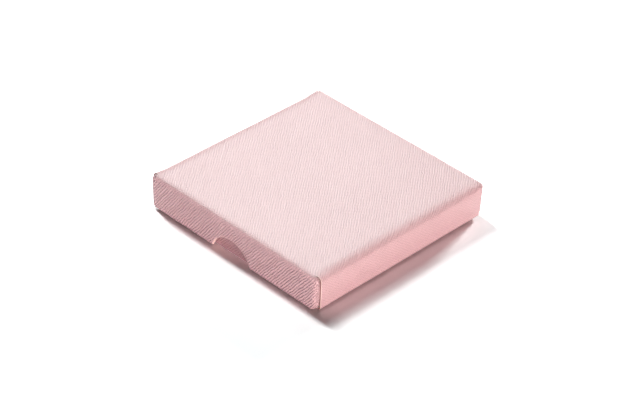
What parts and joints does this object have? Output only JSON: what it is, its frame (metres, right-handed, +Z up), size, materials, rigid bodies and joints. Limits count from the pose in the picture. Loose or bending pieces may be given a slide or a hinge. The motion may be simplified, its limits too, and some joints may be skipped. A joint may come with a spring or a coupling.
{
  "type": "jewelry box",
  "caption": "Shallow square gift box of folded embossed card: a lift-off lid with half-moon thumb notches over a tray that holds a velvet-faced foam pad.",
  "frame": {"origin": "on the table plane, under the centre of the closed box", "axes": "+Z up, the way the lid lifts off; the two walls with a thumb notch face -Y and +Y, the front being -Y; +X to the right seen from the front"},
  "size_m": [0.091, 0.091, 0.0155],
  "materials": {
    "embossed_card": "matte",
    "foam": "matte",
    "velvet": "matte"
  },
  "bodies": {
    "base": {"base_card": "embossed_card", "pad_foam": "foam", "pad_velvet": "velvet"},
    "lid": {"lid_card": "embossed_card", "lid_foam": "foam"}
  },
  "joints": [
    {"name": "lid_lift", "type": "slide", "parent": "base", "child": "lid", "axis": [0, 0, 1], "range_m": [0, 0.06]}
  ]
}
